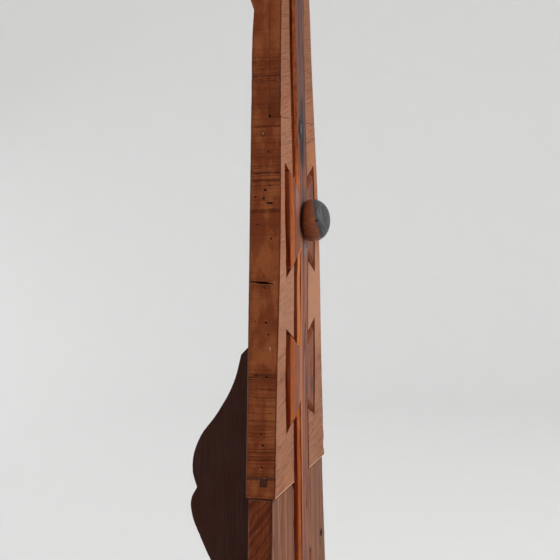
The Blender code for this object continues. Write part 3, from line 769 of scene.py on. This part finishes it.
def plug_timber():
    """A dark end-grain plug."""
    tree = Tree("plug_timber_look")
    slow = tree.warped(0.2, 0.8, 1.0)
    rings = tree.noise(slow, (0.05, 0.5, 0.9), 3, 0.6)
    colour = tree.mix(tree.span(rings, 0.32, 0.68), (0.026, 0.0075, 0.0035), (0.062, 0.020, 0.0090))
    return tree.surface(colour, tree.span(rings, 0.3, 0.7, 0.7, 0.85), rings, 0.3 * MM)


def pin_iron():
    """Blackened iron with rust blooms."""
    tree = Tree("pin_iron_look")
    rust = tree.noise(tree.here, (0.9, 0.9, 0.9), 4, 0.65)
    colour = tree.mix(tree.span(rust, 0.4, 0.62), (0.035, 0.032, 0.030), (0.11, 0.042, 0.018))
    tree.shader.inputs["Metallic"].default_value = 0.7
    return tree.surface(colour, tree.span(rust, 0.3, 0.7, 0.5, 0.85), rust, 0.1 * MM, 0.4)


# ---------------------------------------------------------------- the timber pieces

def at_the_lap(place):
    """True on the joint between the middle and upper blocks, whose edges stay tight."""
    shoulder = abs(place.z - LAP_Z) < 1 * MM and place.y < LAP_Y + 1 * MM
    return shoulder or (place.z > LAP_Z and abs(place.y - LAP_Y) < 1 * MM)


def make_middle_block():
    """The main board: an open crack in its near side, beetle holes, small checks and a chipped corner."""
    cutter = bmesh.new()
    start, end = side_point(NEAR, 16.6, 600.0, 1), side_point(NEAR, -11.0, 596.9, 1)
    path = jagged(start, end, 10, 0.35 * MM, UP, 4)
    openings = (0.2, 0.9, 1.3, 1.8, 2.4, 2.7, 2.5, 1.8, 0.9, 0.15)
    add_check(cutter, path, [UP * opening * MM for opening in openings], SIDEWAYS * 18 * MM)
    for seed, (z, start_y, end_y, width) in enumerate(((479.5, 12, -14, 0.5), (688.5, -0.5, -8, 1.3)), 20):
        side_check(cutter, NEAR, z, start_y, end_y, width, seed)
    far_checks = ((640, 15, -6), (502, 12, -12), (415, 10, -8), (716, 13, -3))
    for seed, (z, start_y, end_y) in enumerate(far_checks, 40):
        side_check(cutter, FAR, z, start_y, end_y, 1.1, seed)
    shape = carved_away(solid_of("middle_block"), cutter)

    # Each hole is (y, z, radius).
    holes = bmesh.new()
    near_holes = (
        (0.1, 702.2, 1.3), (-5.1, 707.4, 0.8), (11.2, 695, 0.9), (1.6, 693, 1.0), (8.4, 663.9, 0.8),
        (-7.1, 647.5, 0.9), (0.5, 605.8, 0.7), (-1.4, 592.3, 0.8), (-3.1, 553.3, 1.1), (9.2, 554.8, 0.6),
        (-5.6, 540, 0.8), (7.2, 493.8, 1.1), (-5.1, 492.5, 1.3), (-0.1, 428.2, 1.0), (-2, 416, 1.2),
        (-1.2, 391.5, 0.9), (-3.4, 745.5, 1.0))
    for y, z, radius in near_holes:
        beetle_hole(holes, NEAR, y, z, radius, 1.5)
    scattered_holes(holes, 5, 14, FAR, 380, 770, -12, 12)
    add_dent(holes, (half_width(0.372) - 0.5 * MM, FRONT - 0.4 * MM, 0.372), (3.4, 2.6, 7))
    add_dent(holes, (half_width(0.405) + 1.2 * MM, FRONT - 1 * MM, 0.405), (2.6, 3.0, 16))
    shape = carved_away(shape, holes)
    sliced(shape, BOARD_GRID)
    weathered(shape, 1, 0.25 * MM, 0.3 * MM, 0, 0.1 * MM, at_the_lap)
    swollen(shape)
    finished("middle_block_worn", shape, "middle_block")


def make_upper_block():
    """The half-lapped upper board, with the small broken notch where its shoulder meets the lap."""
    notch = bmesh.new()
    add_dent(notch, (-half_width(LAP_Z), LAP_Y - 0.3 * MM, LAP_Z), (8, 1.5, 3.6))
    shape = carved_away(solid_of("upper_block"), notch)
    holes = bmesh.new()
    scattered_holes(holes, 6, 3, NEAR, 930, 990, -13, -8)
    scattered_holes(holes, 7, 4, FAR, 800, 990, -13, -8)
    shape = carved_away(shape, holes)
    sliced(shape, BOARD_GRID)
    weathered(shape, 2, 0.25 * MM, 0.3 * MM, 0, 0.1 * MM, at_the_lap)
    swollen(shape)
    finished("upper_block_worn", shape, "upper_block")


def round_channel_corner(shape):
    """The lower block's top corner beside the channel is worn round on the near side."""
    corner_x, reach, drop, depth = -LOWER_CHANNEL, 17 * MM, 13 * MM, 30 * MM
    for vert in shape.verts:
        share = (vert.co.x - corner_x + reach) / reach
        if 0 < share < 1.3 and vert.co.y < -7 * MM:
            fall = drop * (1 - math.sqrt(max(0.0, 1 - min(share, 1) ** 2)))
            near_top = max(0.0, 1 - (low_block[1].z - vert.co.z) / depth)
            vert.co.z -= fall * near_top


def make_lower_block():
    """The thinner lower board: upright drying cracks in both faces, knot holes and chipped corners."""
    cutter = bmesh.new()
    front = low_block[0].y
    cracks = ((-83, 60, 215, 1.1), (104, 190, 335, 1.2), (62, 20, 130, 1.0), (-118, 220, 300, 0.8))
    for seed, (x, low, high, width) in enumerate(cracks, 80):
        face_check(cutter, x, low, high, 2, front - 1 * MM, width, 1.2, 7, seed)
    for seed, (x, low, high) in enumerate(((80, 50, 250), (-70, 100, 330), (-125, 20, 120)), 90):
        face_check(cutter, x, low, high, -3, 1 * MM - front, 1.2, 1.4, -8, seed)
    shape = carved_away(solid_of("lower_block"), cutter)
    dents = bmesh.new()
    add_dent(dents, (0.113, front - 0.5 * MM, 0.255), (5, 4, 4.5))
    add_dent(dents, (0.050, front - 0.5 * MM, 0.243), (6, 3.5, 7))
    add_dent(dents, (-half_width(0.09), front, 0.09), (2, 2.5, 12))
    scattered_holes(dents, 9, 6, NEAR, 30, 330, -10, 10)
    scattered_holes(dents, 10, 6, FAR, 30, 280, -10, 10)
    shape = carved_away(shape, dents)
    sliced(shape, (4.5 * MM, 5 * MM, 5 * MM))
    round_channel_corner(shape)
    weathered(shape, 3, 0.35 * MM, 0.5 * MM, 2, 0.2 * MM)
    finished("lower_block_worn", shape, "lower_block")


def make_centre_rail():
    """The rail and bow-ties, with long fine drying cracks and its grain standing slightly proud."""
    cutter = bmesh.new()
    top = rail_box[0].y - 1 * MM
    cracks = ((5, 690, 745, 0.9), (-8, 830, 970, 0.8), (9, 855, 930, 0.7), (3.5, 505, 548, 1.3),
              (-6, 300, 410, 0.8), (7, 310, 360, 0.7), (-31, 450, 512, 0.8), (30, 640, 660, 0.9),
              (34, 455, 500, 0.9), (-4, 50, 190, 1.0), (8, 160, 270, 0.8), (-29, 645, 694, 0.7))
    for seed, (x, low, high, width) in enumerate(cracks, 110):
        start, end = Vector((x * MM, top, low * MM)), Vector((x * MM, top, high * MM))
        path = jagged(start, end, 11, 0.7 * MM, SIDEWAYS, seed)
        add_check(cutter, path, lens(11, SIDEWAYS * width * MM), BACKWARDS * 5 * MM)
    shape = carved_away(solid_of("centre_rail"), cutter)
    sliced(shape, (3 * MM, 5 * MM, 5 * MM))
    weathered(shape, 4, 0.3 * MM, 0.35 * MM, 2, 0.25 * MM)
    swollen(shape)
    finished("centre_rail_worn", shape, "centre_rail")


def make_keel():
    """The scroll-cut keel, with its edges rubbed."""
    shape = solid_of("rear_keel")
    sliced(shape, (5 * MM, 4 * MM, 4 * MM))
    weathered(shape, 5, 0.3 * MM, 0.4 * MM, 2, 0.12 * MM)
    finished("rear_keel_worn", shape, "rear_keel")


def knob_outline():
    """(radius, y) of the turned knob from its socket round to the end of its dome, from the CAD's sizes."""
    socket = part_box("knob_spindle")
    bore = (socket[1].x - socket[0].x) / 2 + GAP
    inner = socket[0].y - GAP
    radius = (knob_box[1].x - knob_box[0].x) / 2 - 0.1 * MM
    base, tip = knob_box[1].y, knob_box[0].y + 0.15 * MM
    widest, foot_depth = -35 * MM, 12 * MM
    outline = [(0, inner), (bore, inner), (bore, base)]
    foot = math.asin((base - widest) / foot_depth)
    foot_steps, dome_steps = 12, 30
    for i in range(foot_steps):
        angle = foot * (1 - i / foot_steps)
        outline.append((radius * math.cos(angle) ** 0.25, widest + foot_depth * math.sin(angle)))
    for i in range(dome_steps):
        angle = math.pi / 2 * i / dome_steps
        outline.append((radius * math.cos(angle) ** 0.85, widest - (widest - tip) * math.sin(angle) ** 1.05))
    outline.append((0, tip))
    return outline


def lathe_rings(outline, steps):
    """A hand-turned solid round the knob's axis: faint lathe rings, and slightly out of round."""
    shape = bmesh.new()
    rows = []
    left_true = 9 * MM
    for radius, y in outline:
        if radius == 0:
            rows.append([shape.verts.new((0, y, KNOB_Z))] * steps)
            continue
        row = []
        for i in range(steps):
            turn = 2 * math.pi * i / steps
            place = Vector((math.cos(turn), y * 60, math.sin(turn)))
            ridge = 0.06 * MM * (1 + math.sin(y / MM * 2.3))
            lump = 0.28 * MM * (0.5 + 0.5 * noise.noise(place * 1.6 + Vector((3, 5, 7))))
            reach = radius - lump - ridge if radius > left_true else radius
            row.append(shape.verts.new((reach * math.cos(turn), y, KNOB_Z + reach * math.sin(turn))))
        rows.append(row)
    for first, second in zip(rows, rows[1:]):
        for i in range(steps):
            j = (i + 1) % steps
            corners = dict.fromkeys((first[i], second[i], second[j], first[j]))
            shape.faces.new(corners)
    bmesh.ops.recalc_face_normals(shape, faces=shape.faces)
    return shape


def make_knob():
    """The turned knob, with its pin's hole and fine checks across its end grain."""
    shape = lathe_rings(knob_outline(), 96)
    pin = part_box("knob_pin")
    pin_y = (pin[0].y + pin[1].y) / 2
    cutter = bmesh.new()
    add_rod(cutter, (knob_box[0].x - 5 * MM, pin_y, KNOB_Z), (0, pin_y, KNOB_Z), 1.5 * MM, 16)
    shape = carved_away(shape, cutter)
    checks = bmesh.new()
    tip = knob_box[0].y
    for seed, (turn, reach) in enumerate(((0.4, 15), (2.3, 12), (4.1, 17), (5.3, 9)), 150):
        outwards = Vector((math.cos(turn), 0, math.sin(turn)))
        across = Vector((-math.sin(turn), 0, math.cos(turn)))
        start = Vector((0, tip - 1 * MM, KNOB_Z)) + outwards * 2 * MM
        end = Vector((0, tip + 3 * MM, KNOB_Z)) + outwards * reach * MM
        path = jagged(start, end, 6, 0.3 * MM, across, seed)
        add_check(checks, path, lens(6, across * 0.7 * MM), BACKWARDS * 4 * MM)
    shape = carved_away(shape, checks)
    finished("knob_turned", shape, "knob", 38)


def dress_fastenings():
    """The pegs, dowels, plug, spindle, collar and pins stay as the CAD made them, eased and finished."""
    for name, node in frame["nodes"].items():
        if node.hide_render:
            continue
        slot = RECORD_SLOTS[name]
        node.data.materials.clear()
        node.data.materials.append(LOOKS[slot])
        eased = node.modifiers.new("eased", "BEVEL")
        eased.width = 0.35 * MM
        eased.segments = 2
        eased.limit_method = "ANGLE"
        eased.angle_limit = math.radians(50)


# ---------------------------------------------------------------- stage, light, camera

def make_stage():
    """A pale round studio floor that curves up into a plain wall all round."""
    tree = Tree("studio_plaster")
    grain = tree.noise(tree.here, (0.014, 0.014, 0.014), 3, 0.5)
    colour = tree.mix(grain, (0.695, 0.695, 0.695), (0.71, 0.71, 0.71))
    tree.surface(colour, 0.95, grain, 0.05 * MM, 0.0)
    flat, bend, tall = 2.6, 1.6, 5.0
    steps, bend_steps = 96, 16
    outline = [(flat, 0.0)]
    for i in range(1, bend_steps + 1):
        angle = math.pi / 2 * i / bend_steps
        outline.append((flat + bend * math.sin(angle), bend - bend * math.cos(angle)))
    outline.append((flat + bend, tall))
    shape = bmesh.new()
    turns = [2 * math.pi * i / steps for i in range(steps)]
    rows = []
    for reach, z in outline:
        rows.append([shape.verts.new((reach * math.cos(turn), reach * math.sin(turn), z)) for turn in turns])
    centre = shape.verts.new((0, 0, 0))
    for i in range(steps):
        j = (i + 1) % steps
        shape.faces.new((centre, rows[0][i], rows[0][j]))
        for first, second in zip(rows, rows[1:]):
            shape.faces.new((first[i], second[i], second[j], first[j]))
    bmesh.ops.recalc_face_normals(shape, faces=shape.faces)
    stage = as_object("studio", shape)
    stage.data.materials.append(tree.material)
    stage.data.shade_smooth()


def add_area(name, place, target, size, power, colour=(1, 1, 1)):
    """A soft square lamp that the camera doesn't see."""
    data = bpy.data.lights.new(name, "AREA")
    data.size = size
    data.energy = power
    data.color = colour
    lamp = bpy.data.objects.new(name, data)
    lamp.location = place
    lamp.visible_camera = False
    lamp.rotation_euler = (Vector(target) - Vector(place)).to_track_quat("-Z", "Y").to_euler()
    bpy.context.scene.collection.objects.link(lamp)


def make_light():
    """A white surround with one large soft window in front, weak fills, and a wash for the wall behind."""
    world = bpy.data.worlds.new("studio_light")
    world.use_nodes = True
    background = world.node_tree.nodes["Background"]
    background.inputs["Color"].default_value = (1, 1, 1, 1)
    background.inputs["Strength"].default_value = 1.0
    bpy.context.scene.world = world
    bpy.context.scene.view_settings.view_transform = "Standard"
    middle = (0, 0, 0.6)
    add_area("window", (-0.9, -3.0, 1.7), middle, 2.4, 75, (1.0, 0.985, 0.96))
    add_area("fill", (-2.6, 1.4, 1.9), middle, 2.0, 12)
    add_area("back_fill", (2.0, 2.9, 1.9), middle, 2.2, 22)
    add_area("wall_wash", (-0.9, -3.05, 1.7), (-1.5, -6.0, 1.2), 2.4, 10)


def make_camera():
    """Low and almost square to the board's side face, as the reference view stands."""
    data = bpy.data.cameras.new("camera")
    data.sensor_width = 36
    data.lens = 77.6
    camera = bpy.data.objects.new("camera", data)
    camera.location = (-1.4047, -0.3698, 0.690)
    turn, tip, lean = math.radians(74.98), math.radians(-3.74), math.radians(-0.70)
    ahead = Vector((math.sin(turn) * math.cos(tip), math.cos(turn) * math.cos(tip), math.sin(tip)))
    level = ahead.to_track_quat("-Z", "Y")
    camera.rotation_mode = "QUATERNION"
    camera.rotation_quaternion = level @ Matrix.Rotation(lean, 3, "Z").to_quaternion()
    bpy.context.scene.collection.objects.link(camera)
    bpy.context.scene.camera = camera


make_camera()
TIMBERS = (cross_grain_timber, upright_timber, rail_timber, keel_timber, knob_timber, peg_timber, plug_timber)
LOOKS = {make.__name__: make() for make in (*TIMBERS, pin_iron)}
make_middle_block()
make_upper_block()
make_lower_block()
make_centre_rail()
make_keel()
make_knob()
dress_fastenings()
make_stage()
make_light()
